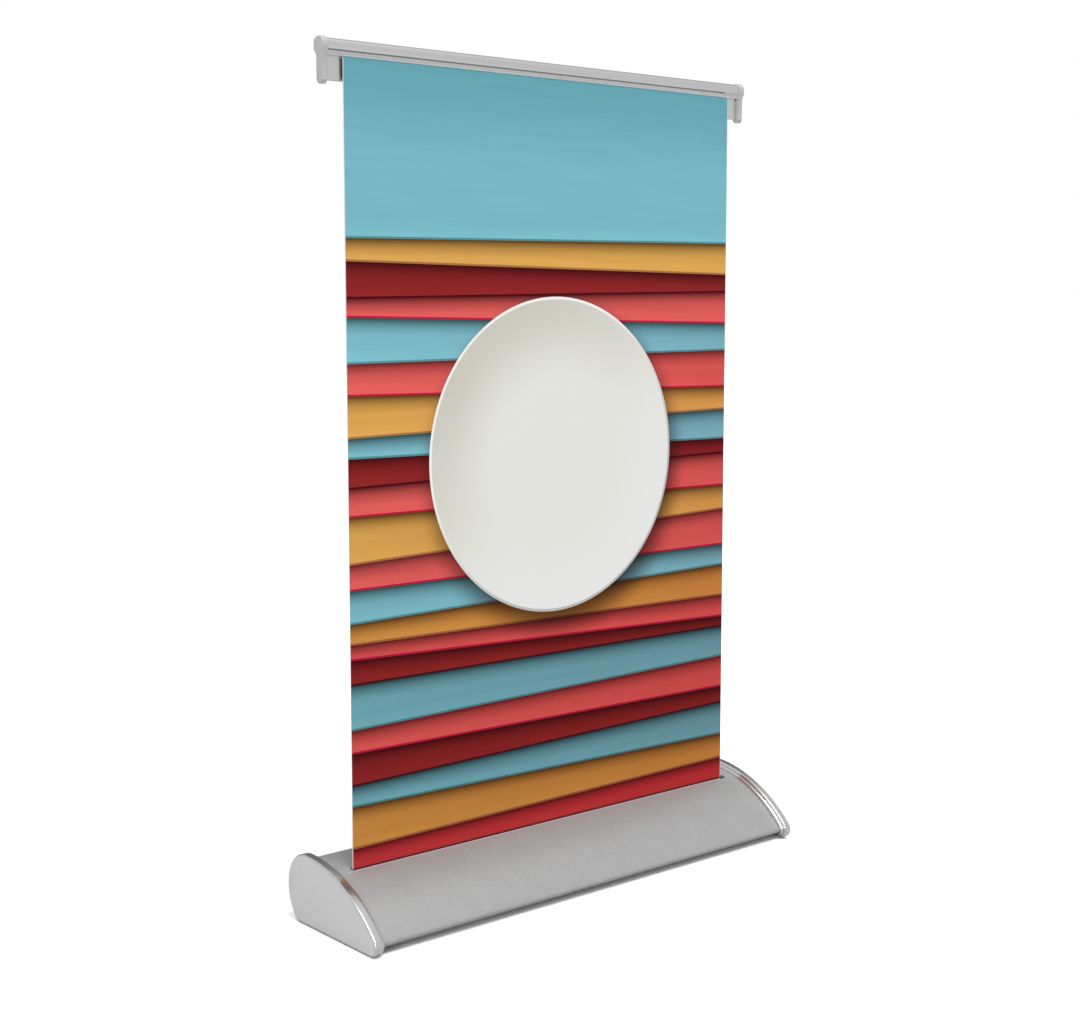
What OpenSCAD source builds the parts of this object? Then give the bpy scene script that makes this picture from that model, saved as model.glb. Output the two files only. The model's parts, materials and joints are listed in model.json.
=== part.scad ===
// Table-top roll-up banner stand, standing and open.
// X runs along the base, +Y points to the back and +Z is up. The origin is on the table,
// under the middle of the base.

/* [Graphic] */
// Width of the printed film
graphic_w = 292; // [200:1:420]
// Height of the graphic that shows, from the slot to its top edge
graphic_h = 442.7; // [300:0.1:600]
// Thickness of the film
film_t = 0.25; // [0.2:0.01:0.35]
// Thickness of the foam tape that holds the film on the top rail
tape_t = 1.75; // [0.8:0.05:1.8]
// Height of the tape
tape_h = 10; // [6:0.5:11]

/* [Base] */
// Length of the base over both end caps
base_l = 327.4; // [236:0.1:456]
// Depth of the base from its nose to its back
base_depth = 87.3; // [84:0.1:92]
// Thickness of an end cap
cap_t = 5.5; // [5:0.1:8]
// How far the housing lies inside the outline of the end caps
lip = 3.5; // [3:0.1:3.7]
// Wall of the housing extrusion
wall = 1.6; // [1.2:0.1:1.6]
// Length of the slot that the film comes out of
slot_l = 296.5; // [204:0.5:430]
// How far the middle of the slot lies to the right of the film's middle
slot_x = 1.25; // [0:0.25:1.5]
// Width of the slot
slot_w = 4; // [3:0.1:5]
// Height of the rounded front edge above the table
foot_gap = 0.7; // [0.5:0.1:1]
// Radius of a rubber foot
foot_r = 6; // [5:0.5:8]

/* [End caps] */
// Thickness of the face plate on an end cap
plate_t = 1.3; // [1:0.1:1.6]
// Width of the bare rim around the face plate
rim_w = 1; // [0.8:0.1:2]
// Length of the collar that hugs the end of the housing
collar_l = 1.8; // [1:0.1:2.5]
// Height of that collar above the housing
collar_h = 2; // [1:0.1:2.2]

/* [Roller] */
// Outer radius of the roller tube
roller_r = 7.5; // [7:0.1:7.8]
// Wall of the roller tube
roller_wall = 0.8; // [0.6:0.1:1]
// Outer radius of the film wound on the tube while the stand is open
wound_r = 8.7; // [8.3:0.1:9]
// Height of the roller's axis above the table
roller_z = 17.6; // [17:0.1:18]
// Radius of the fixed spring shaft
shaft_r = 1.9; // [1.5:0.1:2.2]
// Radius of the idle pin at the other end
pin_r = 2.4; // [2:0.1:2.8]
// Turns of the torsion spring
spring_turns = 22; // [10:1:30]

/* [Top rail] */
// Length of the top rail between its end caps
rail_l = 311; // [216:1:436]
// Thickness of a rail cap
rail_cap_t = 4; // [3:0.5:5]
// Height of the rail above the graphic's top edge
rail_over = 9.3; // [9:0.1:10]
// Height of the flat skirt that the film is taped to
skirt_h = 14; // [12:0.5:16]
// Thickness of the skirt
skirt_t = 2.7; // [2.6:0.1:3.6]

/* [Pole] */
// Outer radius of both pole sections
pole_r = 4; // [3.5:0.1:4.2]
// Wall of the pole tube
pole_wall = 0.8; // [0.6:0.1:1]
// Distance of the pole's axis behind the middle of the base
pole_y = 17.5; // [17:0.1:20]
// Height of the joint between the two sections
pole_split = 238; // [150:1:300]

/* [Hidden] */

$fn = 48;
play = 0.05;                // radial running clearance, and the slack of a light fit
gap = 0.3;                  // space kept between pieces that move apart
over = 1;                   // how far a cut runs past a face

// Side outline of the base: four arcs, each tangent to the next, and a flat bottom.
crest_r = 17.5;
rear_r = 24.6;
rear_lean = 30;
nose_r = 5.5;
crest_back = rear_r - (rear_r - crest_r) * cos(rear_lean);
crest_c = [base_depth / 2 - crest_back, 23.4];
rear_c = crest_c - (rear_r - crest_r) * [cos(rear_lean), sin(rear_lean)];
front_r = 93.6;
nose_c = [nose_r - base_depth / 2, foot_gap + nose_r];
// The front arc's centre is that far from the crest's and the nose's centres.
reach = [front_r - crest_r, front_r - nose_r];
span = norm(nose_c - crest_c);
along = (reach[0] * reach[0] - reach[1] * reach[1] + span * span) / (2 * span);
down = sqrt(reach[0] * reach[0] - along * along);
slope = (nose_c - crest_c) / span;
front_c = crest_c + along * slope + down * [-slope[1], slope[0]];
crest_angle = atan2(crest_c[1] - front_c[1], crest_c[0] - front_c[0]);
nose_angle = atan2(nose_c[1] - front_c[1], nose_c[0] - front_c[0]);

// Base
housing_l = base_l - 2 * cap_t;
housing_bottom = foot_gap + lip;
floor_z = housing_bottom + wall;
film_y = 3.85;              // front face of the film
slot_y = film_y + film_t / 2;
slot_z = 34;                // where the film leaves the housing
boss_r = 3;
boss_at = [[-27, floor_z + 2.8], [32, floor_z + 2.8], [crest_c[0] + 1.8, crest_c[1] + 9.6]];
screw_r = 1.35;
screw_head_r = 2.8;
screw_head_h = 1.5;
screw_l = 14;
foot_at = [135, 135];       // distance of the front and the rear feet from the middle
foot_y = [-19, 28];

// Roller
roller_y = film_y - gap - wound_r;
roller_l = graphic_w + 8;
plug_r = roller_r - roller_wall;
cap_boss_r = 4.6;
cap_boss_l = 6;
plug_l = 12;
shaft_end = 30;             // how far from the middle the spring shaft ends
collar_at = 44;
spring_r = 3.9;
wire_r = 0.5;
spring_from = roller_l / 2 - plug_l - 1.5;
spring_to = collar_at + 0.5;

// Top rail
graphic_top = slot_z + graphic_h;
rail_top = graphic_top + rail_over;
skirt_y = film_y + film_t + tape_t;
skirt_back = skirt_y + skirt_t;
head_r = 3;
head_front = 2.9;
head_back = 10.7;
head_bottom = rail_top - 8;
shoulder_z = rail_top - head_r;
skirt_bottom = head_bottom - skirt_h;
stem_back = skirt_back + 0.4;
cap_over = 0.65;            // how far a rail cap stands proud of the rail's head
tape_inset = 0.5;
lip_bottom = graphic_top + 0.2;

// Pole
socket_r = 5.6;
socket_flange_r = 7.5;
socket_flange_h = 1.6;
socket_floor = 12;
pole_bottom = socket_floor + gap;
pole_in = pole_r - pole_wall;
foot_flange = 1.5;
hook_z = rail_top - 16;     // underside of the hook's head
cord_r = 1.25;

// An arc of points round c, from one angle up to, but not including, the other.
function arc(c, r, from, to, steps) = [
    for (i = [0 : steps - 1])
        let (a = from + (to - from) * i / steps)
        c + r * [cos(a), sin(a)]
];

// The base's side outline, as [y, z] points, moved inwards by d.
function outline(d) = concat(
    arc(rear_c, rear_r - d, asin((foot_gap + d - rear_c[1]) / (rear_r - d)), rear_lean, 16),
    arc(crest_c, crest_r - d, rear_lean, crest_angle, 12),
    arc(front_c, front_r - d, crest_angle, nose_angle, 30),
    arc(nose_c, nose_r - d, nose_angle, 270, 12),
    [[nose_c[0], foot_gap + d]]
);

// The keyhole outline of a rail cap.
function keyhole() = concat(
    [[film_y, graphic_top + 0.3], [head_front - cap_over, head_bottom + 2]],
    arc([head_front + head_r, shoulder_z], head_r + cap_over, 180, 90, 8),
    [[head_front + head_r, shoulder_z + head_r + cap_over]],
    arc([head_back - head_r, shoulder_z], head_r + cap_over, 90, 0, 8),
    [
        [head_back + cap_over, shoulder_z], [head_back + cap_over, head_bottom + 2],
        [stem_back, graphic_top + 0.3],
        [stem_back, skirt_bottom], [stem_back - 1.4, skirt_bottom - 1.9],
        [film_y + 1.4, skirt_bottom - 1.9], [film_y, skirt_bottom]
    ]
);

// The outer outline of the rail: a round head, a bead and a lip over the film, and a flat skirt.
function rail_outline() = concat(
    [
        [skirt_y, skirt_bottom + 0.8], [skirt_y, lip_bottom],
        [film_y + 0.1, lip_bottom], [film_y + 0.1, head_bottom]
    ],
    arc([head_front + 0.7, head_bottom + 0.8], 0.7, 270, 90, 8),
    [
        [head_front + 1.1, head_bottom + 1.6], [head_front + 1.1, head_bottom + 2.1],
        [head_front + 0.15, head_bottom + 2.3]
    ],
    arc([head_front + head_r, shoulder_z], head_r, 180, 90, 8),
    [[head_front + head_r, rail_top]],
    arc([head_back - head_r, shoulder_z], head_r, 90, 0, 8),
    [
        [head_back, shoulder_z], [head_back, head_bottom], [skirt_back, head_bottom],
        [skirt_back, skirt_bottom + 0.8], [skirt_back - 0.8, skirt_bottom],
        [skirt_y + 0.8, skirt_bottom]
    ]
);

// A helix of six-sided wire along X: rings of points for a polyhedron.
function coil_ring(i, steps) =
    let (a = 360 * spring_turns * i / steps)
    let (x = -spring_from + (spring_from - spring_to) * i / steps)
    [
        for (k = [0 : 5])
            let (r = spring_r + wire_r * cos(60 * k))
            [x + wire_r * sin(60 * k), roller_y + r * cos(a), roller_z + r * sin(a)]
    ];

// Extrudes a [y, z] outline along X.
module along_x(from, to) {
    translate([from, 0, 0]) rotate([90, 0, 90]) linear_extrude(to - from) children();
}

// A rod along X through the point at = [y, z].
module rod_x(at, r, from, to) {
    translate([from, at[0], at[1]]) rotate([0, 90, 0]) cylinder(r = r, h = to - from);
}

// Mirrors its children to the left-hand end.
module at_end(side) {
    mirror([side < 0 ? 1 : 0, 0, 0]) children();
}

// A countersunk screw, its head's face at z = 0 and its tip pointing down.
module screw(l) {
    difference() {
        union() {
            translate([0, 0, -screw_head_h]) cylinder(r1 = screw_r, r2 = screw_head_r, h = screw_head_h);
            translate([0, 0, -l]) cylinder(r = screw_r, h = l - screw_head_h);
        }
        for (a = [0, 90])
            rotate([0, 0, a]) translate([-1.6, -0.35, -0.9]) cube([3.2, 0.7, 0.9 + over]);
    }
}

// The hole for that screw.
module screw_hole(l) {
    translate([0, 0, -screw_head_h - play])
        cylinder(r1 = screw_r + play, r2 = screw_head_r + play, h = screw_head_h + play);
    cylinder(r = screw_head_r + play, h = over);
    translate([0, 0, -l - play]) cylinder(r = screw_r + play, h = l);
}

module cap_screw_places() {
    for (p = boss_at)
        translate([base_l / 2 - plate_t, p[0], p[1]]) rotate([0, 90, 0]) children();
}

// Base: one hollow extrusion, with three screw ports and a milled slot.
module housing() {
    color([0.74, 0.75, 0.76])
    difference() {
        along_x(-housing_l / 2, housing_l / 2) {
            difference() {
                polygon(outline(lip));
                polygon(outline(lip + wall));
            }
            for (p = boss_at)
                translate(p) circle(r = boss_r);
        }
        translate([slot_x - slot_l / 2, slot_y - slot_w / 2, slot_z - 6])
            cube([slot_l, slot_w, 12]);
        translate([0, pole_y, floor_z + over]) cylinder(r = socket_r + play, h = 40);
        for (side = [-1, 1])
            at_end(side) cap_screw_places() screw_hole(screw_l + 4);
        translate([0, pole_y, housing_bottom]) rotate([180, 0, 0]) screw_hole(8);
    }
}

module end_cap(side) {
    inner = housing_l / 2;
    outer = base_l / 2;
    color([0.82, 0.83, 0.85])
    at_end(side)
    difference() {
        union() {
            along_x(inner, outer) polygon(outline(0));
            along_x(inner - collar_l, inner)
                difference() {
                    polygon(outline(lip - collar_h));
                    polygon(outline(lip));
                }
            rod_x([roller_y, roller_z], cap_boss_r, inner - cap_boss_l, inner);
            translate([inner - 8, -20, floor_z + 0.1]) cube([8, 44, 1.5]);
        }
        along_x(outer - plate_t, outer + over) polygon(outline(rim_w));
        rod_x([roller_y, roller_z], (side < 0 ? shaft_r : pin_r) + play,
            inner - cap_boss_l - over, inner + 2.8);
        cap_screw_places() screw_hole(screw_l);
    }
}

module end_cap_left() {
    end_cap(-1);
}

module end_cap_right() {
    end_cap(1);
}

module face_plate(side) {
    color([0.78, 0.78, 0.78])
    at_end(side)
    along_x(base_l / 2 - plate_t, base_l / 2) polygon(outline(rim_w + 0.1));
}

module face_plate_left() {
    face_plate(-1);
}

module face_plate_right() {
    face_plate(1);
}

module cap_screws() {
    color([0.35, 0.35, 0.36])
    for (side = [-1, 1])
        at_end(side) cap_screw_places() screw(screw_l);
}

module rubber_feet() {
    color([0.12, 0.12, 0.12])
    for (side = [-1, 1], k = [0, 1])
        translate([side * foot_at[k], foot_y[k], 0])
            cylinder(r1 = foot_r - 0.5, r2 = foot_r, h = housing_bottom);
}

// Moulded sleeve for the pole, with a flange that follows the top of the housing.
module pole_socket() {
    color([0.2, 0.2, 0.21])
    difference() {
        union() {
            translate([0, pole_y, floor_z]) cylinder(r = socket_r, h = 34);
            difference() {
                translate([0, pole_y, 30]) cylinder(r = socket_flange_r, h = 12);
                along_x(-20, 20) polygon(outline(lip));
            }
        }
        along_x(-20, 20)
            difference() {
                translate([0, 20]) square([80, 80]);
                polygon(outline(lip - socket_flange_h));
            }
        translate([0, pole_y, socket_floor]) cylinder(r = pole_r + play, h = 40);
        translate([0, pole_y, floor_z - over]) cylinder(r = screw_r + play, h = over + 6);
    }
}

module socket_screw() {
    color([0.35, 0.35, 0.36])
    translate([0, pole_y, housing_bottom]) rotate([180, 0, 0]) screw(7);
}

// Roller: a spring cartridge on the left, an idle pin on the right.
module spring_shaft() {
    color([0.6, 0.61, 0.63])
    rod_x([roller_y, roller_z], shaft_r, -housing_l / 2 - 2.5, -shaft_end);
}

module spring_collar() {
    color([0.85, 0.84, 0.78])
    difference() {
        rod_x([roller_y, roller_z], spring_r + wire_r, -collar_at, -collar_at + 7);
        rod_x([roller_y, roller_z], shaft_r, -collar_at - over, -collar_at + 7 + over);
    }
}

module torsion_spring() {
    steps = spring_turns * 10;
    points = [for (i = [0 : steps]) each coil_ring(i, steps)];
    sides = [
        for (i = [0 : steps - 1], k = [0 : 5])
            [6 * i + k, 6 * i + (k + 1) % 6, 6 * (i + 1) + (k + 1) % 6, 6 * (i + 1) + k]
    ];
    first = [for (k = [5 : -1 : 0]) k];
    last = [for (k = [0 : 5]) 6 * steps + k];
    color([0.5, 0.51, 0.53])
    polyhedron(points = points, faces = concat([first], sides, [last]), convexity = 10);
}

module idle_pin() {
    color([0.6, 0.61, 0.63])
    rod_x([roller_y, roller_z], pin_r, roller_l / 2 - 9, housing_l / 2 + 2.5);
}

module leader_strip() {
    color([0.9, 0.9, 0.9])
    translate([-graphic_w / 2, film_y, roller_z]) cube([graphic_w, film_t, slot_z - roller_z - 0.5]);
}

module roller_tube() {
    color([0.7, 0.71, 0.72])
    difference() {
        rod_x([roller_y, roller_z], roller_r, -roller_l / 2, roller_l / 2);
        rod_x([roller_y, roller_z], plug_r, -roller_l / 2 - over, roller_l / 2 + over);
    }
}

// A plug pressed into the roller tube, with a running bore.
module roller_plug(bore_r) {
    difference() {
        union() {
            rod_x([roller_y, roller_z], roller_r, roller_l / 2, roller_l / 2 + 1);
            rod_x([roller_y, roller_z], plug_r, roller_l / 2 - plug_l, roller_l / 2);
        }
        rod_x([roller_y, roller_z], bore_r + play, roller_l / 2 - plug_l - over, roller_l / 2 + 2);
    }
}

module drive_plug() {
    color([0.25, 0.26, 0.28])
    at_end(-1) roller_plug(shaft_r);
}

module idle_plug() {
    color([0.25, 0.26, 0.28])
    roller_plug(pin_r);
}

module shaft_guide() {
    color([0.85, 0.84, 0.78])
    difference() {
        rod_x([roller_y, roller_z], plug_r, -shaft_end - 4, -shaft_end + 2);
        rod_x([roller_y, roller_z], shaft_r + play, -shaft_end - 4 - over, -shaft_end + 0.5);
    }
}

module film_roll() {
    color([0.93, 0.93, 0.92])
    difference() {
        rod_x([roller_y, roller_z], wound_r, -graphic_w / 2, graphic_w / 2);
        rod_x([roller_y, roller_z], roller_r, -graphic_w / 2 - over, graphic_w / 2 + over);
    }
}

// The printed film, from the slot to its top edge on the rail.
module banner_graphic() {
    color([0.46, 0.72, 0.78])
    translate([-graphic_w / 2, film_y, slot_z - 0.5])
        cube([graphic_w, film_t, graphic_h + 0.5]);
}

module top_rail() {
    color([0.8, 0.8, 0.81])
    along_x(-rail_l / 2, rail_l / 2)
        difference() {
            polygon(rail_outline());
            translate([head_front + 1.6, head_bottom + 1.6])
                square([head_back - head_front - 3, 4.9]);
            translate([skirt_y + 0.8, skirt_bottom + 1.6])
                square([skirt_t - 1.6, skirt_h - 3]);
        }
}

module rail_cap(side) {
    color([0.76, 0.76, 0.76])
    at_end(side) {
        along_x(rail_l / 2, rail_l / 2 + rail_cap_t) polygon(keyhole());
        along_x(rail_l / 2 - 10, rail_l / 2) {
            translate([head_front + 1.7, head_bottom + 1.7])
                square([head_back - head_front - 3.2, 4.7]);
            translate([skirt_y + 0.9, skirt_bottom + 1.7])
                square([skirt_t - 1.8, skirt_h - 3.2]);
        }
    }
}

module rail_cap_left() {
    rail_cap(-1);
}

module rail_cap_right() {
    rail_cap(1);
}

module rail_tape() {
    color([0.2, 0.2, 0.2])
    translate([-graphic_w / 2 + tape_inset, film_y + film_t, graphic_top - tape_h - 1.2])
        cube([graphic_w - 2 * tape_inset, tape_t, tape_h]);
}

// A length of pole tube.
module pole_tube(from, to) {
    color([0.7, 0.71, 0.72])
    translate([0, pole_y, from])
        difference() {
            cylinder(r = pole_r, h = to - from);
            translate([0, 0, -over]) cylinder(r = pole_in, h = to - from + 2 * over);
        }
}

module lower_pole() {
    pole_tube(pole_bottom + foot_flange, pole_split);
}

module upper_pole() {
    pole_tube(pole_split + gap, hook_z - gap);
}

module pole_foot() {
    color([0.2, 0.2, 0.21])
    translate([0, pole_y, pole_bottom])
        difference() {
            union() {
                cylinder(r = pole_r, h = foot_flange);
                cylinder(r = pole_in, h = 14);
            }
            translate([0, 0, 3]) cylinder(r = cord_r + play, h = 20);
        }
}

// Steel sleeve fixed in the lower section. The upper section slides down over it.
module pole_ferrule() {
    color([0.6, 0.61, 0.63])
    translate([0, pole_y, pole_split])
        difference() {
            union() {
                translate([0, 0, -28]) cylinder(r = pole_in, h = 28);
                cylinder(r = pole_in - play, h = 30);
            }
            translate([0, 0, -30]) cylinder(r = pole_in - 0.9, h = 62);
        }
}

// Nylon head that turns on the pole's end. Its springy tongue goes under the rail's back.
module pole_hook() {
    color([0.2, 0.2, 0.21])
    difference() {
        union() {
            translate([0, pole_y, hook_z - 18]) cylinder(r = pole_in - play, h = 19);
            translate([0, pole_y, hook_z]) cylinder(r = pole_r + 1, h = 8);
            translate([0, pole_y, hook_z + 8]) cylinder(r1 = pole_r + 1, r2 = pole_r - 0.5, h = 1.5);
            translate([-5, skirt_back + 0.4, hook_z + 4]) cube([10, pole_y - skirt_back - 2, 3.7]);
        }
        translate([0, pole_y, hook_z - 20]) cylinder(r = cord_r + play, h = 12);
    }
}

module bungee_cord() {
    color([0.1, 0.1, 0.1])
    translate([0, pole_y, pole_bottom + 3.2])
        cylinder(r = cord_r, h = hook_z - 8.5 - pole_bottom - 3.2);
}

housing();
end_cap_left();
end_cap_right();
face_plate_left();
face_plate_right();
cap_screws();
rubber_feet();
pole_socket();
socket_screw();
spring_shaft();
spring_collar();
torsion_spring();
idle_pin();
leader_strip();
roller_tube();
drive_plug();
shaft_guide();
idle_plug();
film_roll();
banner_graphic();
top_rail();
rail_cap_left();
rail_cap_right();
rail_tape();
lower_pole();
pole_foot();
pole_ferrule();
upper_pole();
pole_hook();
bungee_cord();
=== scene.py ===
import json
from math import asin, atan2, cos, pi, radians, sin, sqrt

import bmesh
import bpy
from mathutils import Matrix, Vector

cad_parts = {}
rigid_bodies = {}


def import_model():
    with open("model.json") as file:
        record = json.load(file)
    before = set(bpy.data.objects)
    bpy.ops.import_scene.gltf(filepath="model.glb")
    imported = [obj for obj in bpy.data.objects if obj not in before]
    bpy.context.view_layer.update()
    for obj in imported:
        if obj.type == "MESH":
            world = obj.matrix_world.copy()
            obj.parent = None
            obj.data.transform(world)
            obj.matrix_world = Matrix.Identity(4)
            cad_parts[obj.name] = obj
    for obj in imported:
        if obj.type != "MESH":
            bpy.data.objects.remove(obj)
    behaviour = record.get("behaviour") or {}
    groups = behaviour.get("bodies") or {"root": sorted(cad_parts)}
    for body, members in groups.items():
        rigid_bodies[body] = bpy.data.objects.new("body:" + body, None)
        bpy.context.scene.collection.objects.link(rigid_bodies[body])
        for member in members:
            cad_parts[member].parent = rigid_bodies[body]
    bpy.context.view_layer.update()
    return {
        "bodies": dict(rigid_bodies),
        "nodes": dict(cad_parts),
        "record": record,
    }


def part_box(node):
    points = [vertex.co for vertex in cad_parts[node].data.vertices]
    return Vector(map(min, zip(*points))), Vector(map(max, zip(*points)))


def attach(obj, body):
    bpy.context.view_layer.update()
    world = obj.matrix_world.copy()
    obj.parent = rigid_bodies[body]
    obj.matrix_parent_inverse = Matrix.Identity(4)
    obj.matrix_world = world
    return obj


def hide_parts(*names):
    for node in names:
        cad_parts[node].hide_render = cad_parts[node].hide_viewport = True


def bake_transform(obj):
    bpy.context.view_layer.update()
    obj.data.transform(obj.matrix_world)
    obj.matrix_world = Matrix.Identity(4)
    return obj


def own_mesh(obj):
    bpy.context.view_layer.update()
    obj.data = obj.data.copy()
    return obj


# The looks of a table-top roll-up banner stand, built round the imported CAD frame.
# Lengths in this script are millimetres unless a name says metres: add_piece() turns them into metres.

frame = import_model()
NODES = frame["nodes"]
BODIES = frame["bodies"]
SCENE = bpy.context.scene
MM = 0.001


def box_mm(node):
    """A CAD node's lowest and highest corner, in millimetres."""
    return [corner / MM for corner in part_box(node)]


# ---------------------------------------------------------------- sizes

CAP_LOW, CAP_HIGH = box_mm("end_cap_right")
HOUSING_LOW, HOUSING_HIGH = box_mm("housing")
PLATE_LOW, PLATE_HIGH = box_mm("face_plate_right")
FILM_LOW, FILM_HIGH = box_mm("banner_graphic")
TAPE_LOW, TAPE_HIGH = box_mm("rail_tape")
RAIL_LOW, RAIL_HIGH = box_mm("top_rail")
RAIL_CAP_LOW, RAIL_CAP_HIGH = box_mm("rail_cap_right")
POLE_LOW, POLE_HIGH = box_mm("lower_pole")
UPPER_LOW, UPPER_HIGH = box_mm("upper_pole")
FOOT_LOW, FOOT_HIGH = box_mm("pole_foot")
HOOK_LOW, HOOK_HIGH = box_mm("pole_hook")
SOCKET_LOW = box_mm("pole_socket")[0]
FEET_HIGH = box_mm("rubber_feet")[1]
CORD_LOW, CORD_HIGH = box_mm("bungee_cord")

# Side outline of the base: four tangent arcs over a flat bottom.
REAR_R, CREST_R, FRONT_R, NOSE_R = 24.6, 17.5, 93.6, 5.5
REAR_LEAN = radians(30)
CREST_Z = 23.4
LIP = HOUSING_LOW.z - CAP_LOW.z
WALL = 1.6
COLLAR_L, COLLAR_H = 1.8, 2.0
RIM_W = 1.1
OVERLAP = 0.02              # how far the plate reaches under the rim

SLOT_LEFT, SLOT_RIGHT = FILM_LOW.x - 1, FILM_HIGH.x + 3.5
SLOT_W = 4
SLOT_Z = 34
SLOT_Y = (FILM_LOW.y + FILM_HIGH.y) / 2

HOLE_HALF = 5.2             # a square hole, hidden by the socket's flange
SKIN_MIDDLE_Z = 20          # the skin's top is above it
ROW_CLEAR = 0.7             # least distance from a row of the skin to a row at an opening's edge

POLE_R, POLE_BORE = 4, 3.2
POLE_Y = (POLE_LOW.y + POLE_HIGH.y) / 2
SOCKET_BORE, SOCKET_R, FLANGE_R, FLANGE_H = 4.05, 5.6, 7.5, 1.6
FOOT_AT = [(135, -19), (135, 28)]


# ---------------------------------------------------------------- mesh helpers

def arc(centre, radius, start, end, steps):
    """Points round centre from one angle to the other, both included, in radians."""
    return [
        (centre[0] + radius * cos(a), centre[1] + radius * sin(a))
        for a in (start + (end - start) * i / steps for i in range(steps + 1))
    ]


def crest_centre():
    """The centre of the crest's arc. The rear arc meets the crest's at REAR_LEAN."""
    back = REAR_R - (REAR_R - CREST_R) * cos(REAR_LEAN)
    return Vector((CAP_HIGH.y - back, CREST_Z))


def nose_centre():
    """The centre of the small arc at the foot of the front."""
    return Vector((CAP_LOW.y + NOSE_R, CAP_LOW.z + NOSE_R))


def front_centre():
    """The front arc's centre, which is a known distance from the crest's and the nose's centres."""
    crest, nose = crest_centre(), nose_centre()
    near, far = FRONT_R - CREST_R, FRONT_R - NOSE_R
    span = (nose - crest).length
    along = (near * near - far * far + span * span) / (2 * span)
    down = sqrt(near * near - along * along)
    slope = (nose - crest) / span
    return crest + along * slope + down * Vector((-slope.y, slope.x))


CREST, NOSE, FRONT = crest_centre(), nose_centre(), front_centre()
REAR = CREST - (REAR_R - CREST_R) * Vector((cos(REAR_LEAN), sin(REAR_LEAN)))
CREST_ANGLE = atan2(CREST.y - FRONT.y, CREST.x - FRONT.x)
NOSE_ANGLE = atan2(NOSE.y - FRONT.y, NOSE.x - FRONT.x)


def outline(inset):
    """The base's side outline as (y, z) points, moved inwards by inset."""
    rear_start = asin((CAP_LOW.z + inset - REAR.y) / (REAR_R - inset))
    return (
        arc(REAR, REAR_R - inset, rear_start, REAR_LEAN, 22)[:-1]
        + arc(CREST, CREST_R - inset, REAR_LEAN, CREST_ANGLE, 18)[:-1]
        + arc(FRONT, FRONT_R - inset, CREST_ANGLE, NOSE_ANGLE, 40)[:-1]
        + arc(NOSE, NOSE_R - inset, NOSE_ANGLE, 1.5 * pi, 14)
    )


def top_z(y, inset):
    """Height of the top of that outline at y."""
    on_crest = y > CREST.x + (CREST_R - inset) * cos(CREST_ANGLE)
    centre, radius = (CREST, CREST_R - inset) if on_crest else (FRONT, FRONT_R - inset)
    return centre.y + sqrt(radius * radius - (y - centre.x) ** 2)


def loft(rings, close_start=True, close_end=True):
    """Vertices and faces of a skin through rings that have the same number of points."""
    count = len(rings[0])
    verts = [point for ring in rings for point in ring]
    faces = [
        (r * count + i, r * count + (i + 1) % count, (r + 1) * count + (i + 1) % count, (r + 1) * count + i)
        for r in range(len(rings) - 1)
        for i in range(count)
    ]
    if close_start:
        faces.append(tuple(range(count)))
    if close_end:
        faces.append(tuple(range((len(rings) - 1) * count, len(rings) * count)))
    return verts, faces


def lathe(profile, centre, closed=False, steps=64):
    """Turns a profile of (radius, height) points about a vertical axis through centre = (x, y)."""
    turns = [2 * pi * k / steps for k in range(steps)]
    rings = [[(centre[0] + r * cos(a), centre[1] + r * sin(a), z) for a in turns] for r, z in profile]
    if closed:
        rings.append(rings[0])
    return loft(rings, not closed, not closed)


def along_x(points, start, end):
    """Extrudes an outline of (y, z) points along X."""
    return loft([[(x, y, z) for y, z in points] for x in (start, end)])


def round_edges(mesh, width, segments, over):
    """Rounds every edge that turns by more than that many degrees."""
    shape = bmesh.new()
    shape.from_mesh(mesh)
    sharp = [e for e in shape.edges if e.is_manifold and e.calc_face_angle() > radians(over)]
    bmesh.ops.bevel(shape, geom=sharp, offset=width * MM, segments=segments, profile=0.5,
                    affect="EDGES", clamp_overlap=True)
    shape.to_mesh(mesh)
    shape.free()


def add_piece(name, shape, body, slot, finish=None, rounding=None, crease=32, replaces=()):
    """Makes a piece from (vertices, faces) in millimetres, and puts it on its CAD body.

    Its finish has the slot's name, unless finish names another.
    rounding is (width, segments, least angle) for round_edges. Edges that turn by more than crease degrees
    are shaded sharp.
    """
    verts, faces = shape
    mesh = bpy.data.meshes.new(name)
    mesh.from_pydata([Vector(v) * MM for v in verts], [], faces)
    work = bmesh.new()
    work.from_mesh(mesh)
    bmesh.ops.remove_doubles(work, verts=work.verts, dist=1e-7)
    bmesh.ops.recalc_face_normals(work, faces=work.faces)
    work.to_mesh(mesh)
    work.free()
    if rounding:
        round_edges(mesh, *rounding)
    mesh.polygons.foreach_set("use_smooth", [True] * len(mesh.polygons))
    mesh.set_sharp_from_angle(angle=radians(crease))
    piece = bpy.data.objects.new(name, mesh)
    SCENE.collection.objects.link(piece)
    piece.data.materials.append(FINISHES[finish or slot])
    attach(piece, body)
    for node in replaces:
        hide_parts(node)
    return piece


def mirrored(shape, side):
    """The shape itself for side 1, or its mirror image in X for side -1."""
    verts, faces = shape
    return [(side * x, y, z) for x, y, z in verts], faces


# ---------------------------------------------------------------- camera and stage

CAMERA_AT = (-0.6662, -0.7772, 0.3479)      # metres
CAMERA_DOWN, CAMERA_TURN = 6.29, 40.19      # degrees
CAMERA_SENSOR, CAMERA_LENS = 36, 57.63      # millimetres
CAMERA_SHIFT = (-0.0044, -0.018)            # as shares of the picture's width
VIEW_X, VIEW_Y = 0.64, 0.76                 # the level direction from the camera to the stand


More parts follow.
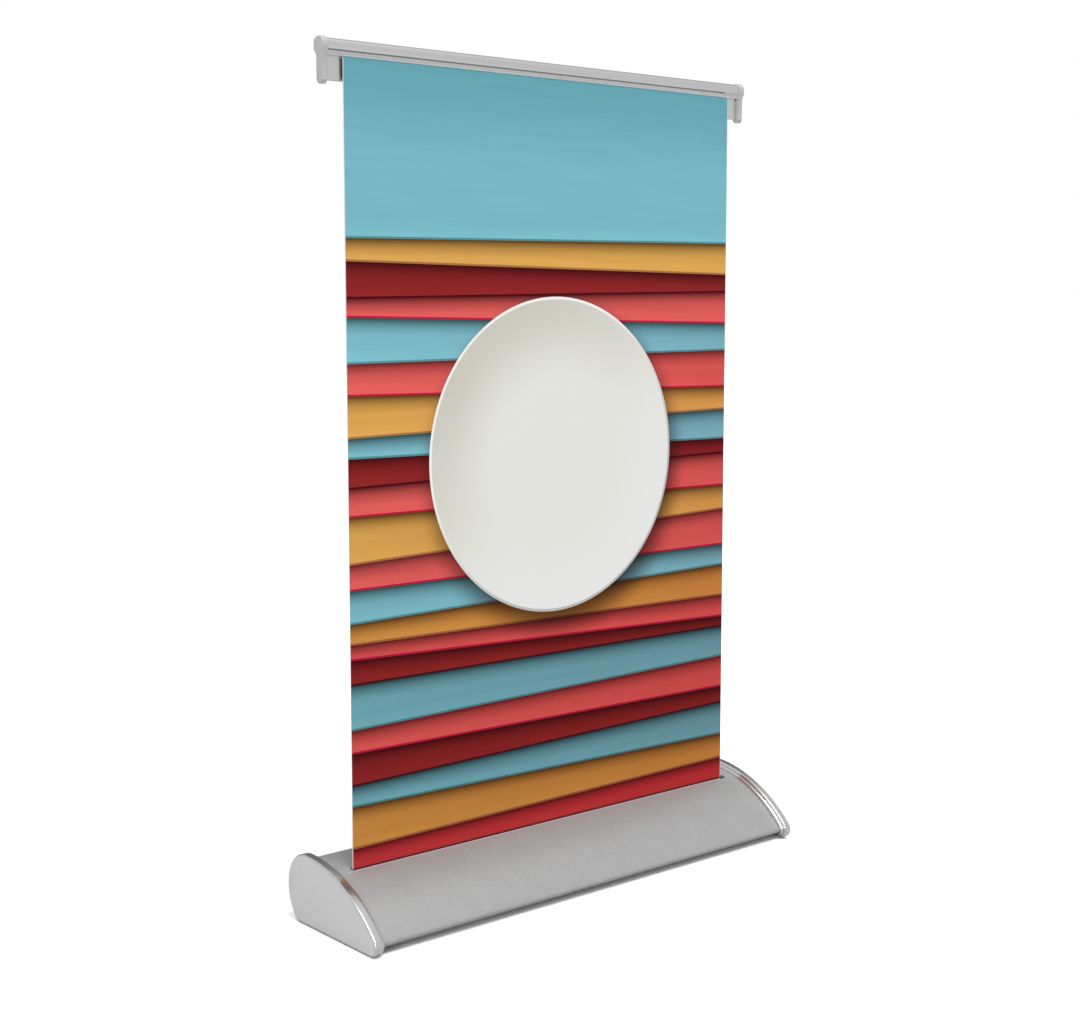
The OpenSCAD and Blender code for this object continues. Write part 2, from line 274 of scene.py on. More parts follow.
def make_camera():
    data = bpy.data.cameras.new("camera")
    camera = bpy.data.objects.new("camera", data)
    SCENE.collection.objects.link(camera)
    camera.location = CAMERA_AT
    camera.rotation_euler = (radians(90 - CAMERA_DOWN), 0, radians(-CAMERA_TURN))
    data.sensor_width = CAMERA_SENSOR
    data.lens = CAMERA_LENS
    data.shift_x, data.shift_y = CAMERA_SHIFT
    SCENE.camera = camera


class Graph:
    """Adds shader nodes to a tree, linking or setting their inputs."""

    def __init__(self, tree):
        self.tree = tree

    def add(self, kind, inputs=None, **settings):
        node = self.tree.nodes.new("ShaderNode" + kind)
        for key, value in settings.items():
            setattr(node, key, value)
        for socket, value in (inputs or {}).items():
            self.set(node.inputs[socket], value)
        return node

    def set(self, target, value):
        if isinstance(value, bpy.types.NodeSocket):
            self.tree.links.new(value, target)
        else:
            target.default_value = value

    def math(self, operation, *values):
        node = self.add("Math", operation=operation)
        for target, value in zip(node.inputs, values):
            self.set(target, value)
        return node.outputs[0]

    def blend(self, factor, first, second, blend_type="MIX"):
        """A colour between two, or with the blend type MULTIPLY their product."""
        node = self.add("Mix", data_type="RGBA", blend_type=blend_type)
        for target, value in ((node.inputs[0], factor), (node.inputs[6], first), (node.inputs[7], second)):
            self.set(target, value)
        return node.outputs[2]

    def scale(self, vector, factor):
        """A vector or a colour times a number."""
        return self.add("VectorMath", {0: vector, "Scale": factor}, operation="SCALE").outputs[0]

    def noise(self, vector, scale, detail):
        return self.add("TexNoise", {"Vector": vector, "Scale": scale, "Detail": detail}).outputs["Fac"]

    def between(self, value, low, high, at_low=0.0, at_high=1.0, smooth=True):
        """Maps value from low..high to at_low..at_high, clamped."""
        node = self.add("MapRange", interpolation_type="SMOOTHSTEP" if smooth else "LINEAR")
        for target, number in zip(node.inputs, (value, low, high, at_low, at_high)):
            self.set(target, number)
        return node.outputs[0]


def linear(*display):
    """A colour of 0-255 display values, as the linear values that shaders take."""
    shares = [value / 255 for value in display]
    return [s / 12.92 if s <= 0.04045 else ((s + 0.055) / 1.055) ** 2.4 for s in shares] + [1]


def grey(value):
    return (value, value, value, 1)


def new_finish(name):
    """A new material, with a Graph of its nodes and its shader."""
    finish = bpy.data.materials.new(name)
    finish.use_nodes = True
    return finish, Graph(finish.node_tree), finish.node_tree.nodes["Principled BSDF"]


def make_world():
    """A soft studio, bright overhead and dim low down behind the stand. The camera sees plain white."""
    world = bpy.data.worlds.new("studio")
    SCENE.world = world
    world.use_nodes = True
    graph = Graph(world.node_tree)
    background = world.node_tree.nodes["Background"]
    direction = graph.add("SeparateXYZ", {0: graph.add("TexCoord").outputs["Generated"]})
    behind = graph.math("ADD", graph.math("MULTIPLY", direction.outputs["X"], VIEW_X),
                        graph.math("MULTIPLY", direction.outputs["Y"], VIEW_Y))
    horizon = graph.blend(graph.between(behind, 0.35, 0.9), grey(0.66), grey(0.18))
    overhead = graph.between(direction.outputs["Z"], 0.7, 0.97)
    room = graph.blend(overhead, horizon, grey(0.8))
    seen = graph.add("LightPath").outputs["Is Camera Ray"]
    graph.set(background.inputs["Color"], graph.blend(seen, room, grey(1)))
    background.inputs["Strength"].default_value = 1.0


def make_light(name, comes_from, strength, spread):
    """Soft light from that direction, spread over that many degrees of the sky."""
    data = bpy.data.lights.new(name, "SUN")
    data.energy = strength
    data.angle = radians(spread)
    lamp = bpy.data.objects.new(name, data)
    SCENE.collection.objects.link(lamp)
    lamp.location = comes_from
    lamp.rotation_euler = (-Vector(comes_from)).to_track_quat("-Z", "Y").to_euler()
    return lamp


def make_stage():
    """A plain table that runs out of sight: white to the camera, and grey to all other rays."""
    half = 6        # metres
    corners = [(-half, -half, 0), (half, -half, 0), (half, half, 0), (-half, half, 0)]
    mesh = bpy.data.meshes.new("table_top")
    mesh.from_pydata(corners, [], [(0, 1, 2, 3)])
    table = bpy.data.objects.new("table_top", mesh)
    SCENE.collection.objects.link(table)
    finish, graph, shader = new_finish("table_white")
    seen = graph.add("LightPath").outputs["Is Camera Ray"]
    graph.set(shader.inputs["Base Color"], graph.blend(seen, grey(0.5), grey(1.2)))
    shader.inputs["Roughness"].default_value = 0.6
    shader.inputs["Specular IOR Level"].default_value = 0
    table.data.materials.append(finish)


make_camera()
SCENE.view_settings.view_transform = "Standard"
make_world()
make_light("top_light", (0, -0.9, 2.0), strength=1.8, spread=32)
make_light("key_light", (-1.7, -1.1, 0.7), strength=0.6, spread=19)
make_light("back_light", (0.3, 1.2, 1.3), strength=0.5, spread=60).visible_glossy = False
make_stage()


# ---------------------------------------------------------------- finishes

BROAD_GRAIN = 0.06          # the scale of the broad grain, as a share of the fine grain's
FINE_SHARE = 0.85           # the fine grain's share of the mixture
GRAIN_LOW, GRAIN_HIGH = 0.3, 0.7    # where Blender's noise nearly always lies


def grained(name, display, metallic, roughness,
            grain=0.3, variation=0.05, relief=0.01, stretch=(1, 1, 1), **sockets):
    """A finish whose colour and roughness vary by the share variation, over about grain millimetres.

    relief is the height of its bumps in millimetres, and sockets are other inputs of the shader.
    """
    finish, graph, shader = new_finish(name)
    place = graph.add("TexCoord").outputs["Object"]
    drawn = graph.add("Mapping", {"Vector": place, "Scale": stretch}).outputs[0]
    fine = graph.noise(drawn, 1 / (grain * MM), detail=2.0)
    broad = graph.noise(drawn, BROAD_GRAIN / (grain * MM), detail=1.0)
    mixed = graph.math("ADD", graph.math("MULTIPLY", fine, FINE_SHARE),
                       graph.math("MULTIPLY", broad, 1 - FINE_SHARE))
    colour = linear(*display)
    darker = [c * (1 - variation) for c in colour[:3]] + [1]
    lighter = [min(1, c * (1 + variation)) for c in colour[:3]] + [1]
    spread = graph.between(mixed, GRAIN_LOW, GRAIN_HIGH, smooth=False)
    smoother, rougher = roughness * (1 - variation), roughness * (1 + variation)
    graph.set(shader.inputs["Base Color"], graph.blend(spread, darker, lighter))
    graph.set(shader.inputs["Roughness"], graph.between(spread, 0, 1, smoother, rougher, smooth=False))
    bump = graph.add("Bump", {"Height": fine, "Distance": relief * MM, "Strength": 0.6})
    graph.set(shader.inputs["Normal"], bump.outputs["Normal"])
    shader.inputs["Metallic"].default_value = metallic
    for socket, value in sockets.items():
        shader.inputs[socket.replace("_", " ")].default_value = value
    return finish


def braided(name, display):
    """Woven sleeve of an elastic cord: two crossing spirals of yarn."""
    finish, graph, shader = new_finish(name)
    place = graph.add("TexCoord").outputs["Object"]
    waves = []
    for lean in (1, -1):
        turned = graph.add("Mapping", {"Vector": place, "Rotation": (0.6 * lean, 0.6, 0)}).outputs[0]
        inputs = {"Vector": turned, "Scale": 260.0, "Distortion": 0.0}
        waves.append(graph.add("TexWave", inputs, bands_direction="Z").outputs["Fac"])
    yarn = graph.math("MAXIMUM", *waves)
    colour = linear(*display)
    pale = [min(1, 3 * c) for c in colour[:3]] + [1]
    graph.set(shader.inputs["Base Color"], graph.blend(yarn, colour, pale))
    bump = graph.add("Bump", {"Height": yarn, "Distance": 0.1 * MM})
    graph.set(shader.inputs["Normal"], bump.outputs["Normal"])
    shader.inputs["Roughness"].default_value = 0.8
    return finish


DRAWN_X = (0.03, 1, 1)      # grain drawn out along X, as on the rail
DRAWN_Z = (1, 1, 0.03)      # grain drawn out along Z, as on the pole

FINISHES = {
    "satin_aluminium": grained("satin_aluminium", (161, 161, 161), 0.3, 0.4, grain=0.8, variation=0.12,
                               relief=0.03, Coat_Weight=0.25, Coat_Roughness=0.09),
    "chrome_rim": grained("chrome_rim", (222, 222, 223), 1.0, 0.19, grain=2.0, variation=0.01, relief=0),
    "plate_grey": grained("plate_grey", (206, 206, 206), 0.0, 0.55, grain=0.25, variation=0.03),
    "screw_steel": grained("screw_steel", (120, 121, 124), 1.0, 0.35, grain=0.2),
    "foot_rubber": grained("foot_rubber", (38, 38, 40), 0.0, 0.75, grain=0.35, variation=0.15, relief=0.03),
    "black_nylon": grained("black_nylon", (44, 45, 48), 0.0, 0.45, variation=0.12, relief=0.02),
    "bright_steel": grained("bright_steel", (196, 197, 200), 1.0, 0.25, grain=0.25, stretch=DRAWN_Z),
    "white_nylon": grained("white_nylon", (222, 219, 206), 0.0, 0.45, grain=0.4, relief=0.015),
    "spring_steel": grained("spring_steel", (135, 137, 142), 1.0, 0.3, grain=0.2, relief=0.004),
    "blank_film": grained("blank_film", (226, 227, 226), 0.0, 0.5, grain=0.6, variation=0.02, relief=0.004),
    "pole_aluminium": grained("pole_aluminium", (190, 192, 195), 0.9, 0.32, stretch=DRAWN_Z),
    "rail_aluminium": grained("rail_aluminium", (224, 224, 225), 1.0, 0.3, grain=3.0, variation=0.015,
                               relief=0, stretch=DRAWN_X),
    "rail_cap_grey": grained("rail_cap_grey", (190, 190, 190), 0.0, 0.5, variation=0.03),
    # the foam tape's dark grey is partly its own colour and partly painted shade of the gap behind the
    # film's edge
    "foam_tape": grained("foam_tape", (62, 62, 64), 0.0, 0.9, variation=0.15, relief=0.02),
    "elastic_cord": braided("elastic_cord", (34, 34, 36)),
}


# ---------------------------------------------------------------- the print

# Each paper's face, the edge strip along its lower side, and its colour in deep shade.
PAPERS = {
    "teal": ((121, 183, 196), (72, 146, 156), (34, 56, 56)),
    "sea": ((112, 171, 183), (66, 138, 148), (30, 50, 50)),
    "mustard": ((214, 162, 82), (172, 116, 54), (62, 38, 16)),
    "ochre": ((206, 143, 68), (164, 102, 44), (62, 34, 14)),
    "coral": ((219, 93, 89), (196, 18, 60), (80, 24, 27)),
    "red": ((216, 86, 82), (194, 20, 56), (78, 18, 24)),
    "maroon": ((138, 36, 37), (80, 6, 22), (48, 6, 11)),
    "crimson": ((208, 60, 63), (170, 30, 40), (74, 12, 18)),
}
# The bands from the top down: the paper, and the height of its lower edge above the slot at each side.
BANDS = [
    ("teal", 348.9, 351.9), ("mustard", 336.6, 332.2), ("maroon", 316.5, 321), ("coral", 306.5, 301),
    ("teal", 281.5, 284), ("coral", 264, 260.5), ("mustard", 241, 246), ("teal", 230, 227),
    ("maroon", 213.5, 217.5), ("coral", 198, 196.5), ("mustard", 171.9, 181), ("coral", 157.5, 157.5),
    ("teal", 139, 144.3), ("ochre", 127.5, 124), ("red", 118.9, 109.9), ("maroon", 104.8, 103),
    ("sea", 79.6, 83.4), ("red", 66.5, 63), ("maroon", 48, 52), ("sea", 36.5, 31), ("ochre", 12.5, 15),
]
BOTTOM_PAPER = "crimson"
STRIP_BELOW, STRIP_ABOVE = 1.05, 0.1        # the edge strip, about a band's lower edge
SHADE_REACH, SHADE_FALL, SHADE_DEPTH = 12.5, 1.9, 0.97      # the shade that a band casts below its strip
LIT_HEIGHT, LIT = 8.0, 1.09                 # a band is that much brighter low down, up to that height
SOFT = 0.15                                 # half the width of a printed border's blur
HEADER_SHADE_AT = 385                       # the header darkens from there to the rail
FOOT_SHADE_FROM, FOOT_SHADE_TO, FOOT_SHADE_LEVEL = 20, 290, 0.76   # painted shade: the print darkens from the upper height to the lower
SIDE_LIGHT_LEFT = (1.07, 1.05, 1.05, 1)           # painted light and shade at the print's sides, lighter at the left and darker and redder at the right, below the heights that follow
SIDE_SHADE_RIGHT = (0.94, 0.8, 0.82, 1)
SIDE_SHADE_FULL, SIDE_SHADE_NONE = 270, 330
MOUTH_FROM, MOUTH_TO, MOUTH_SHADE = 0.1, 1.3, 0.4           # painted shade: the dark line where the film enters the slot
DISC_AT, DISC_R = (2.7, 223), 94
DISC_FLAT_R = 42                            # the dish is flat inside it
DISC_RIM = 1.9                              # width of the dish's rim
DISC_SHADE_AT = (5.5, 214.5)
DISC_SHADE_IN, DISC_SHADE_OUT, DISC_SHADE_DEPTH = 10, 14, 0.85
BLEED = 0.25                                # unprinted margin at the sides


def band_group():
    """A sheet of paper over what is below it: its face, its edge strip, and the shade that it casts."""
    group = bpy.data.node_groups.new("paper_band", "ShaderNodeTree")
    sockets = {
        "Below": "Color", "Height": "Float", "Across": "Float", "Left": "Float", "Right": "Float",
        "Face": "Color", "Edge": "Color", "Shade": "Color",
    }
    for name, kind in sockets.items():
        group.interface.new_socket(name, in_out="INPUT", socket_type="NodeSocket" + kind)
    group.interface.new_socket("Colour", in_out="OUTPUT", socket_type="NodeSocketColor")
    graph = Graph(group)
    given = group.nodes.new("NodeGroupInput").outputs
    result = group.nodes.new("NodeGroupOutput")
    edge = graph.between(given["Across"], 0, 1, given["Left"], given["Right"], smooth=False)
    rise = graph.math("SUBTRACT", given["Height"], edge)
    depth = graph.math("MULTIPLY", rise, -1.0)
    near = graph.between(depth, STRIP_BELOW, SHADE_REACH, 1, 0, smooth=False)
    falling = graph.math("POWER", near, SHADE_FALL)
    shaded = graph.blend(graph.math("MULTIPLY", falling, SHADE_DEPTH), given["Below"], given["Shade"])
    face = graph.scale(given["Face"], graph.between(rise, 1.0, LIT_HEIGHT, LIT, 1.0))
    above_strip = graph.between(rise, STRIP_ABOVE - SOFT, STRIP_ABOVE + 0.2)
    own = graph.blend(above_strip, given["Edge"], face)
    over = graph.between(rise, -STRIP_BELOW - SOFT, -STRIP_BELOW + SOFT)
    graph.set(result.inputs["Colour"], graph.blend(over, shaded, own))
    return group


def disc_colour(graph, x, height, paper):
    """A shallow white dish on the paper, lit from the upper left, with its soft shadow."""
    def from_centre(centre):
        side = graph.math("SUBTRACT", x, centre[0])
        rise = graph.math("SUBTRACT", height, centre[1])
        squares = graph.math("ADD", graph.math("POWER", side, 2), graph.math("POWER", rise, 2))
        return side, rise, graph.math("SQRT", squares)

    side, rise, radius = from_centre(DISC_AT)
    toward = graph.math("ADD", graph.math("MULTIPLY", side, -0.6), graph.math("MULTIPLY", rise, 0.8))
    facing = graph.math("DIVIDE", toward, graph.math("MAXIMUM", radius, 1.0))
    away = from_centre(DISC_SHADE_AT)[2]
    shade = graph.between(away, DISC_R - DISC_SHADE_IN, DISC_R + DISC_SHADE_OUT, DISC_SHADE_DEPTH, 0)
    shaded = graph.blend(shade, paper, linear(40, 16, 16))
    bowl = graph.between(radius, DISC_FLAT_R, DISC_R - 3)
    dark_side = graph.math("MULTIPLY", bowl, graph.between(facing, -0.35, 0.9, smooth=False))
    bright_side = graph.math("MULTIPLY", bowl, graph.between(facing, 0.2, -0.8, smooth=False))
    dish = graph.blend(dark_side, linear(227, 228, 222), linear(204, 202, 191))
    dish = graph.blend(bright_side, dish, linear(231, 231, 230))
    rim = graph.blend(graph.between(facing, -0.7, 0.6), linear(186, 185, 182), linear(244, 242, 239))
    on_rim = graph.between(radius, DISC_R - DISC_RIM, DISC_R - DISC_RIM + 0.7)
    dish = graph.blend(on_rim, dish, rim)
    return graph.blend(graph.between(radius, DISC_R - SOFT, DISC_R + 0.2, 1, 0), shaded, dish)


def printed_film():
    """The printed side of the film. The print moves with the rail, so it goes down into the slot."""
    finish, graph, shader = new_finish("printed_film")
    place = graph.add("TexCoord", object=BODIES["rail"]).outputs["Object"]
    parts = graph.add("SeparateXYZ", {0: graph.scale(place, 1 / MM)})
    x = parts.outputs["X"]
    height = graph.math("SUBTRACT", parts.outputs["Z"], SLOT_Z)
    across = graph.between(x, FILM_LOW.x, FILM_HIGH.x, smooth=False)
    group = band_group()
    colour = linear(*PAPERS[BOTTOM_PAPER][0])
    below = BOTTOM_PAPER
    for paper, left, right in reversed(BANDS):
        face, edge, _ = PAPERS[paper]
        band = graph.add("Group", node_tree=group)
        values = {
            "Below": colour, "Height": height, "Across": across, "Left": left, "Right": right,
            "Face": linear(*face), "Edge": linear(*edge), "Shade": linear(*PAPERS[below][2]),
        }
        for socket, value in values.items():
            graph.set(band.inputs[socket], value)
        colour, below = band.outputs["Colour"], paper
    header = graph.between(height, HEADER_SHADE_AT, FILM_HIGH.z - SLOT_Z)
    colour = graph.blend(header, colour, graph.blend(1.0, colour, (0.7, 0.8, 0.81, 1), "MULTIPLY"))
    # painted shade: the print darker towards its foot
    colour = graph.scale(colour, graph.between(height, FOOT_SHADE_FROM, FOOT_SHADE_TO, FOOT_SHADE_LEVEL, 1.0, smooth=False))
    # painted light and shade: the print lighter at its left side, darker and redder at its right, low down
    side_shaded = graph.blend(1.0, colour, graph.blend(across, SIDE_LIGHT_LEFT, SIDE_SHADE_RIGHT), "MULTIPLY")
    colour = graph.blend(graph.between(height, SIDE_SHADE_FULL, SIDE_SHADE_NONE, 1, 0), colour, side_shaded)
    # painted shade of the slot's mouth: a dark line at the foot of the print
    colour = graph.scale(colour, graph.between(height, MOUTH_FROM, MOUTH_TO, MOUTH_SHADE, 1.0))
    streaks = graph.add("Mapping", {"Vector": place, "Scale": (0.06, 1, 1)}).outputs[0]
    streak = graph.noise(streaks, 260.0, detail=3.0)
    colour = graph.scale(colour, graph.between(streak, GRAIN_LOW, GRAIN_HIGH, 0.975, 1.025))
    art = disc_colour(graph, x, height, colour)
    side = graph.math("ABSOLUTE", x)
    margin = graph.between(side, FILM_HIGH.x - BLEED - 0.05, FILM_HIGH.x - BLEED + 0.05)
    graph.set(shader.inputs["Base Color"], graph.blend(margin, art, linear(226, 226, 226)))
    fine = graph.noise(place, 2500.0, detail=1.0)
    roughness = graph.between(fine, GRAIN_LOW, GRAIN_HIGH, 0.46, 0.54, smooth=False)
    graph.set(shader.inputs["Roughness"], roughness)
    shader.inputs["Specular IOR Level"].default_value = 0.03
    return finish


FINISHES["printed_film"] = printed_film()


# ---------------------------------------------------------------- base

def open_cell(y, x):
    """Whether the housing's skin is open at that middle of a cell: the slot, and the hole for the pole."""
    in_slot = abs(y - SLOT_Y) < SLOT_W / 2 and SLOT_LEFT < x < SLOT_RIGHT
    in_hole = abs(y - POLE_Y) < HOLE_HALF and abs(x) < HOLE_HALF
    return in_slot or in_hole


def skin_rows(cuts):
    """Matching points of the outer and inner skin, with rows where the openings start and end."""
    pairs = list(zip(outline(LIP), outline(LIP + WALL)))
    rows = []
    for (outer, inner), (following, _) in zip(pairs, pairs[1:] + pairs[:1]):
        on_top = outer[1] > SKIN_MIDDLE_Z
        if not on_top or all(abs(outer[0] - y) > ROW_CLEAR for y in cuts):
            rows.append((outer, inner))
        for y in cuts:
            if on_top and following[0] < y <= outer[0]:
                rows.append(((y, top_z(y, LIP)), (y, top_z(y, LIP + WALL))))
    return rows


def housing_shape():
    """The hollow extrusion: two skins, joined at the ends and round the openings."""
    cuts = [POLE_Y + HOLE_HALF, POLE_Y - HOLE_HALF, SLOT_Y + SLOT_W / 2, SLOT_Y - SLOT_W / 2]
    rows = skin_rows(cuts)
    half = HOUSING_HIGH.x
    columns = [-half, SLOT_LEFT, -HOLE_HALF, HOLE_HALF, SLOT_RIGHT, half]
    verts = [(x, *skin) for row in rows for x in columns for skin in row]

    def vertex(row, column, skin):
        return 2 * ((row % len(rows)) * len(columns) + column) + skin

    def is_open(row, column):
        if not 0 <= column < len(columns) - 1:
            return True
        (y0, z0), (y1, _) = rows[row % len(rows)][0], rows[(row + 1) % len(rows)][0]
        return z0 > SKIN_MIDDLE_Z and open_cell((y0 + y1) / 2, (columns[column] + columns[column + 1]) / 2)

    def wall(start, end):
        """The face that joins the two skins along the edge from one (row, column) to another."""
        return [vertex(*start, 0), vertex(*end, 0), vertex(*end, 1), vertex(*start, 1)]

    faces = []
    for i in range(len(rows)):
        for j in range(-1, len(columns) - 1):
            if not is_open(i, j):
                corners = (i, j), (i + 1, j), (i + 1, j + 1), (i, j + 1)
                faces += [[vertex(*corner, skin) for corner in corners] for skin in (0, 1)]
                if is_open(i + 1, j):
                    faces.append(wall((i + 1, j), (i + 1, j + 1)))
                if is_open(i - 1, j):
                    faces.append(wall((i, j), (i, j + 1)))
            if is_open(i, j) != is_open(i, j + 1):
                faces.append(wall((i, j + 1), (i + 1, j + 1)))
    return verts, faces


def cap_profile():
    """The end cap's section as (x, inset) points, from its inner face over the rim to the plate's seat."""
    inner, outer = HOUSING_HIGH.x, CAP_HIGH.x
    seat = PLATE_LOW.x
    under = LIP - 0.05
    collar = LIP - COLLAR_H
    start = inner - COLLAR_L
    collar_r, step_r, inner_r, outer_r = 1.2, 0.25, 1.1, 0.95
    return (
        [(inner, under), (start, under)]
        + arc((start + collar_r, collar + collar_r), collar_r, pi, 1.5 * pi, 8)
        + arc((inner - 0.35, collar + step_r), step_r, 1.5 * pi, 2 * pi, 4)
        + [(inner - 0.1, collar + 0.6), (inner, collar + 0.6)]
        + arc((inner + inner_r, inner_r), inner_r, pi, 1.5 * pi, 8)
        + arc((outer - outer_r, outer_r), outer_r, 1.5 * pi, 2 * pi, 12)
        + [(outer - 0.1, RIM_W), (seat, RIM_W)]
    )


def plate_profile():
    """The face plate's section, from its back over its rounded edge to its face."""
    edge, radius = RIM_W - OVERLAP, 0.12
    rounded = arc((PLATE_HIGH.x - 0.02 - radius, edge + radius), radius, 1.5 * pi, 2 * pi, 5)
    return [(PLATE_LOW.x + 0.03, edge)] + rounded


def swept(profile):
    """A skin whose section along X is a list of (x, inset) points."""
    return loft([[(x, y, z) for y, z in outline(inset)] for x, inset in profile])


def draped_ring(radius, lift, level=None, steps=64):
    """A ring round the pole's axis that follows the top of the housing, or lies level."""
    ring = []
    for k in range(steps):
        turn = 2 * pi * k / steps
        y = POLE_Y + radius * sin(turn)
        ring.append((radius * cos(turn), y, top_z(y, LIP) + lift if level is None else level))
    return ring


def socket_shape():
    """The moulded sleeve for the pole, with a flange that follows the top of the housing."""
    floor = FOOT_LOW.z - 0.3
    rings = [draped_ring(SOCKET_R, 0, SOCKET_LOW.z + 0.3), draped_ring(SOCKET_R, -0.6)]
    rings += [draped_ring(FLANGE_R - 0.15, 0.02)]
    edge, mouth = 0.9, 0.5      # radii of the flange's edge and of the hole's
    rounded = arc((FLANGE_R - edge, FLANGE_H - edge), edge, 0, pi / 2, 6)
    rounded += arc((SOCKET_BORE + mouth, FLANGE_H - mouth), mouth, pi / 2, pi, 5)
    rings += [draped_ring(radius, lift) for radius, lift in rounded]
    rings += [draped_ring(SOCKET_BORE, 0, floor)]
    return loft(rings)


def make_base():
    add_piece("base_extrusion", housing_shape(), "base", "satin_aluminium", crease=30, replaces=["housing"])
    for side, word in ((-1, "left"), (1, "right")):
        add_piece(f"{word}_cap_rim", mirrored(swept(cap_profile()), side), "base", "chrome_rim",
                  crease=50, replaces=[f"end_cap_{word}"])
        add_piece(f"{word}_cap_plate", mirrored(swept(plate_profile()), side), "base", "plate_grey",
                  crease=50, replaces=[f"face_plate_{word}"])
    add_piece("pole_sleeve", socket_shape(), "base", "black_nylon", crease=45, replaces=["pole_socket"])
    top = FEET_HIGH.z
    tread = [(0.4, 0.35), (3.2, 0.35), (3.5, 0), (4.9, 0), (5.35, 0.2), (5.6, 0.7)]
    tread += [(5.9, top - 0.6), (5.9, top)]
    for x, y in FOOT_AT:
        for side, word in ((-1, "left"), (1, "right")):
            place = "front" if y < 0 else "rear"
            add_piece(f"{place}_{word}_foot", lathe(tread, (side * x, y)), "base", "foot_rubber",
                      crease=40, replaces=["rubber_feet"])


# ---------------------------------------------------------------- film and top rail

FILM_THICK = 0.35       # a little over the CAD's, so that the edge shows


def make_film():
    """The film, from the slot to its top edge. It slides into the slot as the rail comes down."""
    back = FILM_LOW.y + FILM_THICK
    columns, rows = 20, 60
    xs = [FILM_LOW.x + (FILM_HIGH.x - FILM_LOW.x) * i / columns for i in range(columns + 1)]
    zs = [FILM_LOW.z + (FILM_HIGH.z - FILM_LOW.z) * j / rows for j in range(rows + 1)]
    front_face = [[(x, FILM_LOW.y, z) for x in xs] for z in zs]
    rings = [row + [(x, back, z) for x, _, z in reversed(row)] for row in front_face]
    film = add_piece("banner_film", loft(rings), "base", "printed_film", finish="blank_film",
                     crease=30, replaces=["banner_graphic"])
    film.data.materials.append(FINISHES["printed_film"])
    for face in film.data.polygons:
        if face.normal.y < -0.9:
            face.material_index = 1
    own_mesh(film)


RAIL_HEAD_Z = RAIL_HIGH.z - 8       # underside of the rail's head
BEAD_R, BEAD_RISE = 0.5, 0.8        # the rise is from the head's underside to the centre
LEDGE_R, LEDGE_RISE = 0.6, 2.55
FACE_BACK = 0.4                     # the head's flat face is that far behind the ledge's front
HEAD_R = 3
GROOVE, SHALLOW = 3.2, 0.35         # depths of the groove and of what is left of it at the right end
GROOVE_END = FILM_HIGH.x - 3.5      # the groove is filled in from there to the right end
SKIRT_R = 0.8
CAP_OVER = 0.65                     # how far a rail cap stands out past the rail


def rail_outline(groove_depth):
    """The rail's section, up the front and down the back: lip, bead, groove, ledge, head and skirt."""
    front, back, top = RAIL_LOW.y, RAIL_HIGH.y, RAIL_HIGH.z
    bead = Vector((front + 0.2 + BEAD_R, RAIL_HEAD_Z + BEAD_RISE))
    ledge = Vector((front + LEDGE_R, RAIL_HEAD_Z + LEDGE_RISE))
    groove, face = front + groove_depth, front + FACE_BACK
    lip_front, lip_low = FILM_LOW.y + 0.1, FILM_HIGH.z + 0.2
    skirt_front, skirt_back, low = TAPE_HIGH.y, RAIL_CAP_HIGH.y - CAP_OVER - 2.15, RAIL_LOW.z
    return (
        [(skirt_front, lip_low), (lip_front + 0.3, lip_low), (lip_front, lip_low + 0.3)]
        + [(lip_front, bead.y - BEAD_R)]
        + arc(bead, BEAD_R, 1.5 * pi, 0.5 * pi, 12)
        + [(groove, bead.y + BEAD_R), (groove, ledge.y - LEDGE_R)]
        + arc(ledge, LEDGE_R, 1.5 * pi, 0.65 * pi, 10)
        + arc((face + HEAD_R, top - HEAD_R), HEAD_R, pi, 0.5 * pi, 16)
        + arc((back - HEAD_R, top - HEAD_R), HEAD_R, 0.5 * pi, 0, 16)
        + [(back, RAIL_HEAD_Z + 0.4), (back - 0.4, RAIL_HEAD_Z), (skirt_back, RAIL_HEAD_Z)]
        + arc((skirt_back - SKIRT_R, low + SKIRT_R), SKIRT_R, 0, -0.5 * pi, 6)
        + arc((skirt_front + SKIRT_R, low + SKIRT_R), SKIRT_R, -0.5 * pi, -pi, 6)
    )


def keyhole():
    """The outline of a rail cap: round over the rail's head, narrow along its skirt."""
    low, high = RAIL_CAP_LOW, RAIL_CAP_HIGH
    stem_front, stem_back, stem_top, foot = FILM_LOW.y, high.y - 2.4, FILM_HIGH.z + 0.3, low.z
    radius = HEAD_R + CAP_OVER
    return (
        [(stem_front, stem_top), (low.y, RAIL_HEAD_Z + 2)]
        + arc((low.y + radius, high.z - radius), radius, pi, 0.5 * pi, 14)
        + arc((high.y - radius, high.z - radius), radius, 0.5 * pi, 0, 14)
        + [(high.y, RAIL_HEAD_Z + 2), (stem_back, stem_top), (stem_back, foot + 1.9),
           (stem_back - 1.4, foot), (stem_front + 1.4, foot), (stem_front, foot + 1.9)]
    )


